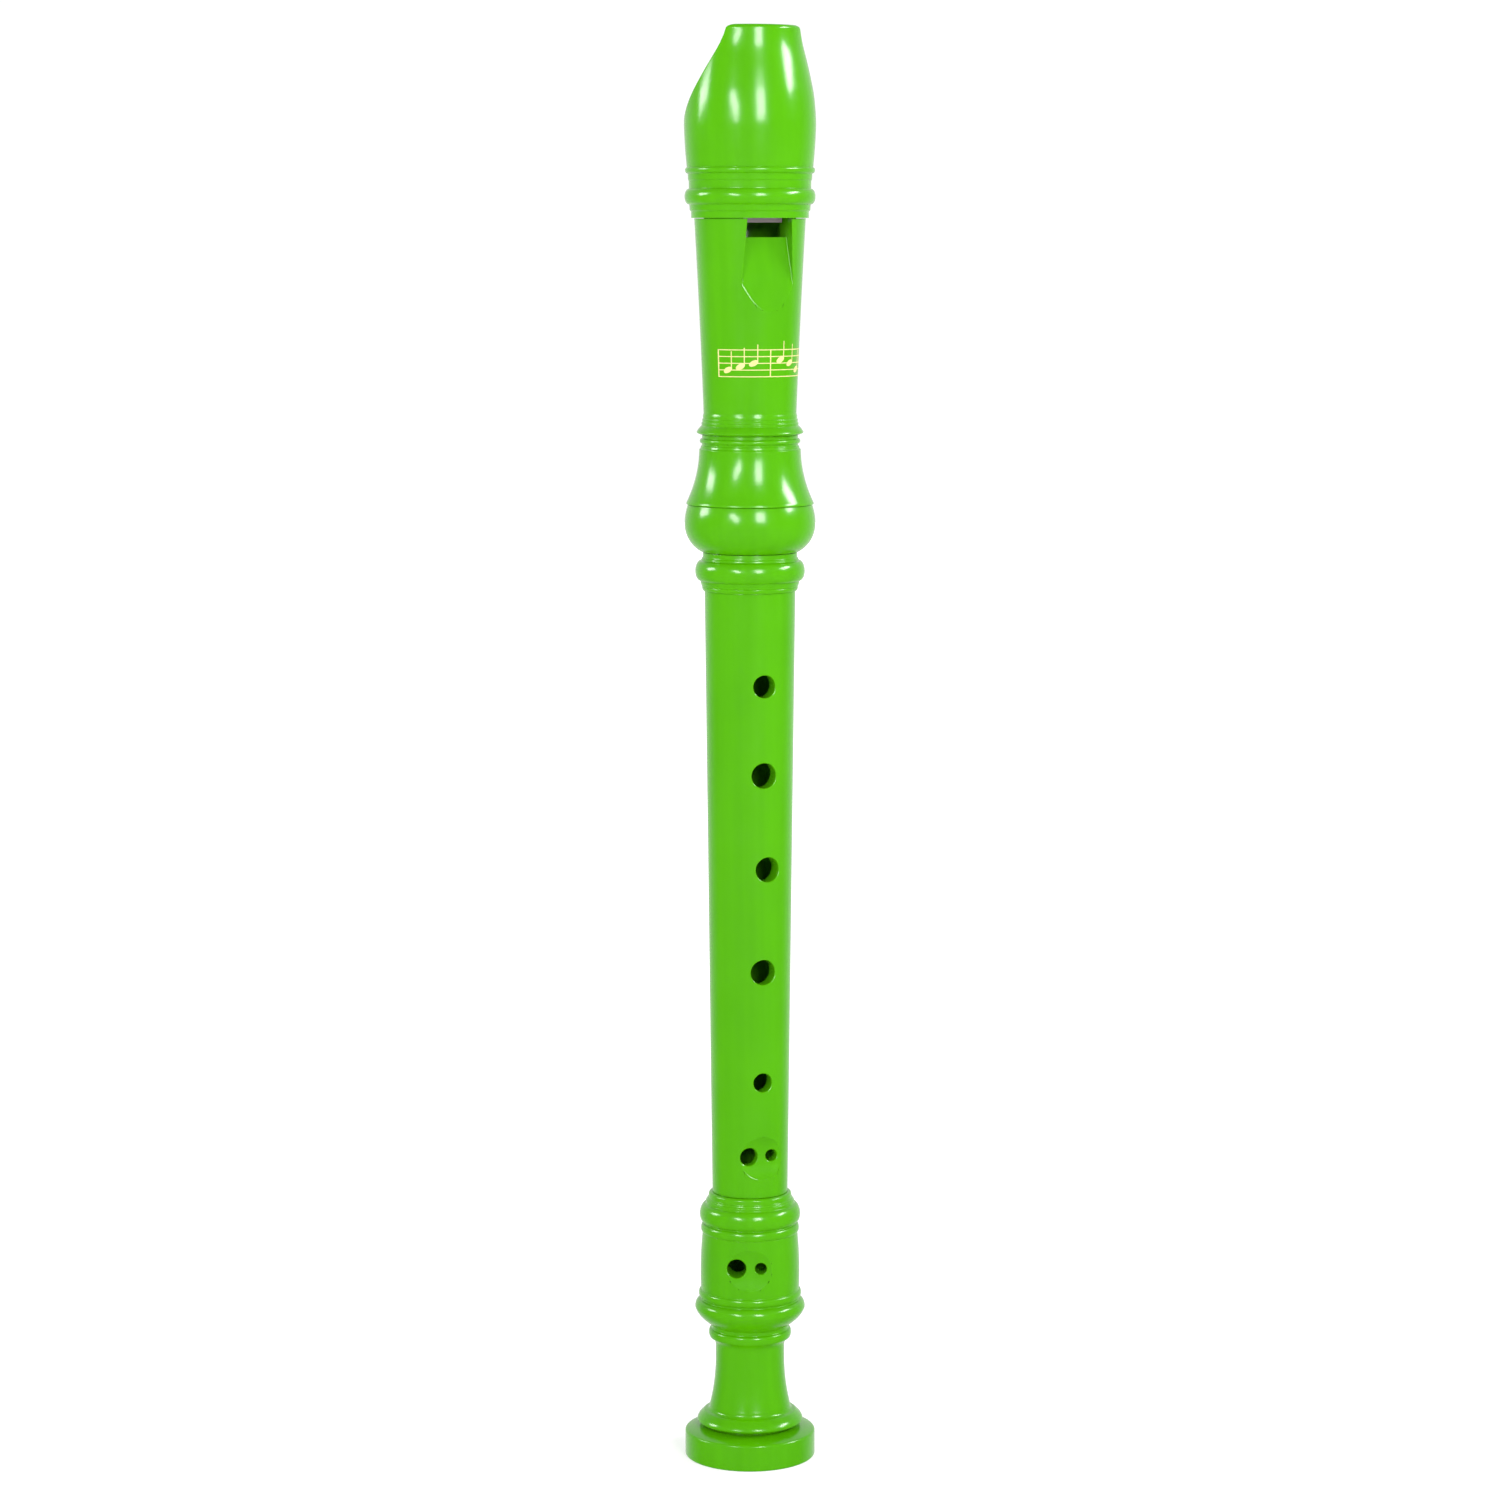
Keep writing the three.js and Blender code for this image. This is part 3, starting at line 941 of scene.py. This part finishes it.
def foot_socket_ring():
    socket = LOWER_TENON + SOCKET_CLEARANCE
    return turned(
        "foot_ring",
        softened(
            [
                (socket, FOOT_TOP + TIGHT_SEAM),
                (11.05 - CRISP, FOOT_TOP + TIGHT_SEAM),
                (11.05, FOOT_TOP + TIGHT_SEAM),
                (11.05, FOOT_TOP + TIGHT_SEAM + CRISP),
                *bead((11.05, 53.5), (10.85, 55.5), 0.45, 14),
                (10.76, 55.6),
                (10.76, 55.85),
                *bead((10.85, 55.95), (10.45, 60.1), 1.02, 26),
                (10.28, 60.3),
                (10.24, 60.95),
                (9.98, 61.15),
                (9.92, 61.45),
                (9.68, 61.6),
                (9.64, 62.1),
                *arc(8.95, 62.35, 0.65, 0, 90, 10),
                (socket, FOOT_RING_TOP),
            ]
        ),
    )


def foot_tube():
    flare = 48  # radius of the curve below the waist
    waist_top = 26.3
    waist_bottom = 23.5
    barrel_bottom = 39.9
    socket = LOWER_TENON + SOCKET_CLEARANCE
    socket_end = LOWER_TENON_BOTTOM - 0.3  # just past the tenon
    bore_start = socket_end - 0.2
    bore_end = 3
    bore_spacing = 6
    foot = turned(
        "foot",
        softened(
            [
                (BASE_SPIGOT, FOOT_BOTTOM),
                (BASE_SPIGOT, BASE_TOP + SEAM),
                (10.5, BASE_TOP + SEAM),
                (10.5, 7.7),
                *arc(11.75, 8.66, 0.55, -100, 22, 16),
                *leaning((12.2, 9.0), (11.9, 9.7), (11.1, 10.35), 10),
                *leaning((11.0, 10.45), (10.7, 10.8), (10.25, 10.88), 6),
                *leaning((10.1, 10.92), (9.5, 11.0), (9.38, 12.1), 8),
                *arc(WAIST + flare, waist_bottom, flare, 193.6, 180, 16),
                *leaning((WAIST, waist_top), (WAIST + 0.1, 27.6), (9.0, 28.1), 10),
                *bead((9.1, 28.2), (9.2, 30.3), 0.46, 14),
                (8.95, 30.45),
                (8.9, 31.2),
                *leaning((9.05, 31.35), (12.3, 33.5), (12.8, 35.5), 16),
                *leaning((12.8, 35.55), (12.74, 37.2), (11.5, 37.5), 12),
                (11.46, 37.75),
                *bead((11.5, 37.95), (11.46, 39.75), 0.46, 14),
                *curved(foot_radius, barrel_bottom, FOOT_TOP, 16),
                (foot_radius(FOOT_TOP) - CRISP, FOOT_TOP),
                (socket, FOOT_TOP),
                (socket, socket_end),
                (FOOT_BORE_TOP, socket_end),
                *straight(
                    (FOOT_BORE_TOP, bore_start), (FOOT_BORE_BOTTOM, bore_end), bore_spacing
                ),
                (FOOT_BORE_BOTTOM + 0.5, FOOT_BOTTOM),
            ]
        ),
    )
    return double_hole(foot, SEVENTH_HOLE, foot_radius)


def foot_base_ring():
    inside = BASE_SPIGOT + SEAM
    lower_edge = 0.5
    upper_edge = 0.6
    shoulder = 6.3
    lip_top = BASE_TOP + 0.5
    lip_inside = 10.6
    softness = 0.15
    return turned(
        "base",
        softened(
            [
                (inside, 0),
                *arc(BASE_RADIUS - lower_edge, lower_edge, lower_edge, -90, 0, 8),
                *arc(BASE_RADIUS - upper_edge, shoulder - upper_edge, upper_edge, 0, 80, 8),
                (11.2, lip_top),
                (lip_inside, lip_top),
                (lip_inside, BASE_TOP),
                (inside, BASE_TOP),
            ],
            softness,
        ),
    )


# ---- print: a plain stave with plain notes ----

PRINT_CENTRE = 255
PRINT_HALF_WIDTH = 12.2
LINE_GAP = 1.5
LINE_WEIGHT = 0.2
PRINT_LIFT = 0.03  # the ink stands out of the barrel by this, and reaches as far in


def mark(columns):
    """A thin closed mark on the barrel from columns of (across, low, high), the last two measured
    from the middle line."""
    rings = []
    for across, bottom, top in columns:
        corners = []
        for rise, side in ((bottom, 1), (top, 1), (top, -1), (bottom, -1)):
            lift = side * PRINT_LIFT
            height = PRINT_CENTRE + rise
            radius = barrel_radius(height) + lift
            angle = across / barrel_radius(PRINT_CENTRE) - math.pi / 2
            corners.append((radius * math.cos(angle), radius * math.sin(angle), height))
        rings.append(corners)
    return solid("mark", rings, closed=False)


def bar(start, end, bottom, top):
    """A mark of even height, in columns that follow the round of the barrel."""
    spacing = 0.4
    steps = max(1, math.ceil((end - start) / spacing))
    return mark([(start + (end - start) * i / steps, bottom, top) for i in range(steps + 1)])


def note_head(across, rise):
    """A tilted oval."""
    half_length = 1.05
    half_height = 0.66
    least_half = 0.02
    tilt = 0.32
    steps = 16
    columns = []
    for i in range(steps + 1):
        angle = math.pi * i / steps
        step = -half_length * math.cos(angle)
        half = max(least_half, half_height * math.sin(angle))
        columns.append((across + step, rise + tilt * step - half, rise + tilt * step + half))
    return mark(columns)


def stave_print():
    """Five lines, three bar lines and six notes, each with its stem."""
    half_line = LINE_WEIGHT / 2
    bar_lines = [(-PRINT_HALF_WIDTH, 0.3), (0.2, 0.25), (PRINT_HALF_WIDTH - 0.5, 0.5)]
    notes = [(-9.6, -2), (-6.6, -1), (-3.6, 0), (2.9, 1), (5.9, 0), (8.9, -2)]
    stem_across = (0.8, 1.02)
    stem_rise = (0.3, 4.2)
    marks = []
    for line in range(-2, 3):
        middle = line * LINE_GAP
        marks.append(
            bar(-PRINT_HALF_WIDTH, PRINT_HALF_WIDTH, middle - half_line, middle + half_line)
        )
    edge = 2 * LINE_GAP + half_line
    for across, weight in bar_lines:
        marks.append(bar(across, across + weight, -edge, edge))
    for across, step in notes:
        rise = step * LINE_GAP / 2
        marks.append(note_head(across, rise))
        sides = [across + side for side in stem_across]
        marks.append(bar(*sides, *(rise + end for end in stem_rise)))
    joined = marks[0]
    with bpy.context.temp_override(active_object=joined, selected_editable_objects=marks):
        bpy.ops.object.join()
    return joined


# ---- materials ----


class Nodes:
    """Short calls for building one material's nodes."""

    def __init__(self, name):
        self.material = bpy.data.materials.new(name)
        self.material.use_nodes = True
        self.tree = self.material.node_tree
        self.shader = self.tree.nodes["Principled BSDF"]

    def add(self, kind, **settings):
        node = self.tree.nodes.new(kind)
        for key, value in settings.items():
            setattr(node, key, value)
        return node

    def link(self, source, target):
        self.tree.links.new(source, target)

    def coordinates(self, scale):
        place = self.add("ShaderNodeTexCoord")
        mapping = self.add("ShaderNodeMapping")
        mapping.inputs["Scale"].default_value = scale
        self.link(place.outputs["Object"], mapping.inputs["Vector"])
        return mapping.outputs["Vector"]

    def noise(self, scale, detail, stretch=(1, 1, 1)):
        node = self.add("ShaderNodeTexNoise")
        node.inputs["Scale"].default_value = scale
        node.inputs["Detail"].default_value = detail
        self.link(self.coordinates(stretch), node.inputs["Vector"])
        return node.outputs["Fac"]

    def spread(self, value, from_low, from_high, to_low, to_high):
        node = self.add("ShaderNodeMapRange")
        numbers = (from_low, from_high, to_low, to_high)
        for name, number in zip(("From Min", "From Max", "To Min", "To Max"), numbers):
            node.inputs[name].default_value = number
        self.link(value, node.inputs["Value"])
        return node.outputs["Result"]

    def sum(self, first, second):
        node = self.add("ShaderNodeMath", operation="ADD")
        self.link(first, node.inputs[0])
        self.link(second, node.inputs[1])
        return node.outputs["Value"]

    def mix(self, factor, first, second):
        """Mixes two colours, each a socket or four numbers."""
        node = self.add("ShaderNodeMix", data_type="RGBA")
        self.link(factor, node.inputs["Factor"])
        for name, colour in (("A", first), ("B", second)):
            socket = next(s for s in node.inputs if s.name == name and s.type == "RGBA")
            if isinstance(colour, tuple):
                socket.default_value = colour
            else:
                self.link(colour, socket)
        return next(s for s in node.outputs if s.type == "RGBA")

    def edges(self, radius):
        """One on plain surfaces, and less within a radius of an edge."""
        bevel = self.add("ShaderNodeBevel", samples=4)
        bevel.inputs["Radius"].default_value = radius
        geometry = self.add("ShaderNodeNewGeometry")
        product = self.add("ShaderNodeVectorMath", operation="DOT_PRODUCT")
        self.link(bevel.outputs["Normal"], product.inputs[0])
        self.link(geometry.outputs["Normal"], product.inputs[1])
        return product.outputs["Value"]

    def bump(self, height, strength, distance, under=None):
        node = self.add("ShaderNodeBump")
        node.inputs["Strength"].default_value = strength
        node.inputs["Distance"].default_value = distance
        self.link(height, node.inputs["Height"])
        if under:
            self.link(under, node.inputs["Normal"])
        return node.outputs["Normal"]


def body_plastic():
    """Glossy green moulded plastic with flow marks, fine grain and lighter edges, partly wear and
    partly a painted highlight.
    """
    made = Nodes("green_plastic")
    base = (0.073, 0.352, 0.0003, 1)
    deep = (0.061, 0.31, 0.0002, 1)
    wear_and_highlight = (0.11, 0.46, 0.005, 1)
    clouds = made.noise(scale=45, detail=3)
    streaks = made.noise(scale=1, detail=4, stretch=(420, 420, 14))
    shade = made.sum(
        made.spread(clouds, 0.35, 0.65, 0, 0.45), made.spread(streaks, 0.35, 0.65, 0, 0.4)
    )
    colour = made.mix(shade, base, deep)
    # every edge is mixed towards a lighter green: partly wear, partly a painted highlight of rims
    # catching light
    edge = made.spread(made.edges(radius=0.00025), 0.97, 0.85, 0, 0.6)
    made.link(made.mix(edge, colour, wear_and_highlight), made.shader.inputs["Base Color"])
    grain = made.noise(scale=900, detail=4)
    rubbed = made.noise(scale=130, detail=4)
    roughness = made.sum(
        made.spread(grain, 0.3, 0.7, 0.17, 0.205), made.spread(rubbed, 0.45, 0.75, 0, 0.03)
    )
    made.link(roughness, made.shader.inputs["Roughness"])
    waves = made.noise(scale=170, detail=2)
    ripple = made.bump(waves, strength=0.12, distance=0.0001)
    normal = made.bump(grain, strength=0.05, distance=0.00004, under=ripple)
    made.link(normal, made.shader.inputs["Normal"])
    made.shader.inputs["IOR"].default_value = 1.5
    made.shader.inputs["Sheen Weight"].default_value = 0.06
    made.shader.inputs["Sheen Roughness"].default_value = 0.3
    made.shader.inputs["Sheen Tint"].default_value = (0.6, 1, 0.05, 1)
    return made.material


def block_plastic():
    """Matt mauve-grey plastic of the windway block."""
    made = Nodes("mauve_plastic")
    base = (0.32, 0.25, 0.28, 1)
    deep = (0.25, 0.2, 0.22, 1)
    clouds = made.noise(scale=160, detail=4)
    made.link(
        made.mix(made.spread(clouds, 0.35, 0.65, 0, 1), base, deep), made.shader.inputs["Base Color"]
    )
    grain = made.noise(scale=1500, detail=3)
    made.link(made.spread(grain, 0.3, 0.7, 0.42, 0.6), made.shader.inputs["Roughness"])
    normal = made.bump(grain, strength=0.15, distance=0.00005)
    made.link(normal, made.shader.inputs["Normal"])
    return made.material


def print_ink():
    """Cream ink with slightly uneven cover."""
    made = Nodes("cream_ink")
    full = (0.7, 0.6, 0.26, 1)
    thin = (0.6, 0.54, 0.18, 1)
    cover = made.noise(scale=900, detail=4)
    made.link(
        made.mix(made.spread(cover, 0.4, 0.75, 0, 1), full, thin), made.shader.inputs["Base Color"]
    )
    made.link(made.spread(cover, 0.3, 0.7, 0.4, 0.55), made.shader.inputs["Roughness"])
    return made.material


# ---- studio ----


def studio_floor():
    """A round sheet of pale paper, in metres, with a painted glow that brightens it away from the
    recorder, where the lamps light it less.
    """
    sides = 96
    radius = 3
    data = bpy.data.meshes.new("floor")
    data.from_pydata(ring(radius, 0, sides), [], [tuple(range(sides))])
    floor = bpy.data.objects.new("floor", data)
    bpy.context.scene.collection.objects.link(floor)
    made = Nodes("floor_paper")
    pale = (0.6, 0.6, 0.6, 1)
    paler = (0.62, 0.62, 0.615, 1)
    clouds = made.noise(scale=30, detail=4)
    made.link(
        made.mix(made.spread(clouds, 0.3, 0.7, 0, 1), pale, paler), made.shader.inputs["Base Color"]
    )
    made.shader.inputs["Roughness"].default_value = 0.95
    made.shader.inputs["Specular IOR Level"].default_value = 0
    made.shader.inputs["Emission Color"].default_value = (1, 1, 1, 1)
    # painted glow: the paper emits more light the farther it is from the recorder, making up for the
    # lamps' falloff
    length = made.add("ShaderNodeVectorMath", operation="LENGTH")
    made.link(made.coordinates((1, 1, 1)), length.inputs[0])
    glow = made.spread(length.outputs["Value"], 0.1, 0.9, 0.5, 0.95)
    made.link(glow, made.shader.inputs["Emission Strength"])
    data.materials.append(made.material)
    floor.visible_glossy = False
    floor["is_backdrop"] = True


# Soft boxes: name, azimuth, lowest and highest elevation in degrees, width in metres, brightness.
SOFT_BOXES = [
    ("far_left_strip", -93, 6, 24, 0.34, 15),
    ("left_strip", -28, 4, 22.5, 0.26, 20),
    ("right_strip", 19, 6, 25, 0.42, 19),
    ("far_right_strip", 88, 13, 36, 0.34, 24),
]


def strip_light(name, azimuth_deg, lowest_deg, highest_deg, width, brightness):
    """A tall soft box between two elevations, as seen from the instrument. The azimuth is how far
    it is to the right of the camera, as seen in the picture."""
    distance = 1.6
    eye = 0.27  # the elevations are measured from this height
    camera_azimuth = math.atan2(CAMERA_PLACE.y, CAMERA_PLACE.x)
    angle = camera_azimuth + math.radians(azimuth_deg)
    bottom, top = (eye + distance * math.tan(math.radians(e)) for e in (lowest_deg, highest_deg))
    data = bpy.data.lights.new(name, "AREA")
    data.shape = "RECTANGLE"
    data.size = width
    data.size_y = top - bottom
    data.energy = brightness * math.pi * width * (top - bottom)
    lamp = bpy.data.objects.new(name, data)
    bpy.context.scene.collection.objects.link(lamp)
    place = Vector((distance * math.cos(angle), distance * math.sin(angle), (bottom + top) / 2))
    lamp.location = place
    lamp.rotation_euler = Vector((-place.x, -place.y, 0)).to_track_quat("-Z", "Z").to_euler()


def studio_world():
    """White surroundings: bright to the eye, softer as light. In reflections the room is dim,
    with a white backdrop on the side away from the camera."""
    seen_brightness = 1.05
    light_brightness = 0.62
    room_brightness = 0.05
    backdrop_brightness = 0.9
    world = bpy.data.worlds.new("studio")
    bpy.context.scene.world = world
    world.use_nodes = True
    tree = world.node_tree
    background = tree.nodes["Background"]
    background.inputs["Color"].default_value = (1, 1, 1, 1)
    place = tree.nodes.new("ShaderNodeTexCoord")
    facing = tree.nodes.new("ShaderNodeVectorMath")
    facing.operation = "DOT_PRODUCT"
    facing.inputs[1].default_value = -Vector((CAMERA_PLACE.x, CAMERA_PLACE.y, 0)).normalized()
    tree.links.new(place.outputs["Generated"], facing.inputs[0])
    mirrored = tree.nodes.new("ShaderNodeMapRange")
    mirrored.interpolation_type = "SMOOTHSTEP"
    numbers = (0.1, 0.95, room_brightness, backdrop_brightness)
    for name, number in zip(("From Min", "From Max", "To Min", "To Max"), numbers):
        mirrored.inputs[name].default_value = number
    tree.links.new(facing.outputs["Value"], mirrored.inputs["Value"])
    path = tree.nodes.new("ShaderNodeLightPath")
    glossy = tree.nodes.new("ShaderNodeMix")
    tree.links.new(path.outputs["Is Glossy Ray"], glossy.inputs["Factor"])
    glossy.inputs["A"].default_value = light_brightness
    tree.links.new(mirrored.outputs["Result"], glossy.inputs["B"])
    seen = tree.nodes.new("ShaderNodeMix")
    tree.links.new(path.outputs["Is Camera Ray"], seen.inputs["Factor"])
    tree.links.new(glossy.outputs["Result"], seen.inputs["A"])
    seen.inputs["B"].default_value = seen_brightness
    tree.links.new(seen.outputs["Result"], background.inputs["Strength"])


# The camera, in metres, millimetres of lens and sensor, and degrees.
CAMERA_LENS = 97.2
CAMERA_SENSOR = 36
CAMERA_DISTANCE = 0.9215
CAMERA_HEIGHT = 0.2858
CAMERA_AZIMUTH_DEG = -19.5
CAMERA_PITCH_DEG = 7.39
CAMERA_PLACE = Vector(
    (
        CAMERA_DISTANCE * math.sin(math.radians(CAMERA_AZIMUTH_DEG)),
        -CAMERA_DISTANCE * math.cos(math.radians(CAMERA_AZIMUTH_DEG)),
        CAMERA_HEIGHT,
    )
)


def studio_camera():
    data = bpy.data.cameras.new("camera")
    data.sensor_width = CAMERA_SENSOR
    data.lens = CAMERA_LENS
    camera = bpy.data.objects.new("camera", data)
    bpy.context.scene.collection.objects.link(camera)
    camera.location = CAMERA_PLACE
    camera.rotation_euler = (
        math.radians(90 - CAMERA_PITCH_DEG),
        0,
        math.radians(CAMERA_AZIMUTH_DEG),
    )
    bpy.context.scene.camera = camera


# ---- the recorder ----

green = body_plastic()
mauve = block_plastic()
cream = print_ink()

placed(beak_cap(), "cap", green, "head", "beak_cap", HEAD_TURN_DEG)
placed(windway_block(), "block", mauve, "head", "windway_block", HEAD_TURN_DEG)
placed(
    head_barrel(),
    "barrel",
    green,
    "head",
    "head_barrel",
    HEAD_TURN_DEG,
    [wall_normal(barrel_radius), ramp_normal, window_side_normal],
)
placed(head_ferrule(), "ferrule", green, "head", "head_ferrule", HEAD_TURN_DEG)
placed(stave_print(), "stave_print", cream, "head", turn_deg=HEAD_TURN_DEG)
placed(head_socket_ring(), "socket_ring", green, "head_ring", "head_socket_ring")
placed(
    middle_tube(),
    "tube",
    green,
    "middle",
    "middle_tube",
    0,
    [wall_normal(tube_radius), dish_normal(SIXTH_HOLE, tube_radius)],
)
placed(middle_collar(), "collar", green, "middle", "middle_collar")
placed(foot_socket_ring(), "foot_ring", green, "foot_ring", "foot_socket_ring")
placed(
    foot_tube(),
    "foot_barrel",
    green,
    "foot",
    "foot_tube",
    FOOT_TURN_DEG,
    [wall_normal(foot_radius), dish_normal(SEVENTH_HOLE, foot_radius)],
)
placed(foot_base_ring(), "foot_disc", green, "foot", "foot_base_ring", FOOT_TURN_DEG)

studio_camera()
studio_world()
studio_floor()
for soft_box in SOFT_BOXES:
    strip_light(*soft_box)
bpy.context.scene.view_settings.view_transform = "Standard"

shown_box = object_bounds()
boxes = {"cad": cad_box, "visual": shown_box}
{key: [list(corner) for corner in box] for key, box in boxes.items()}
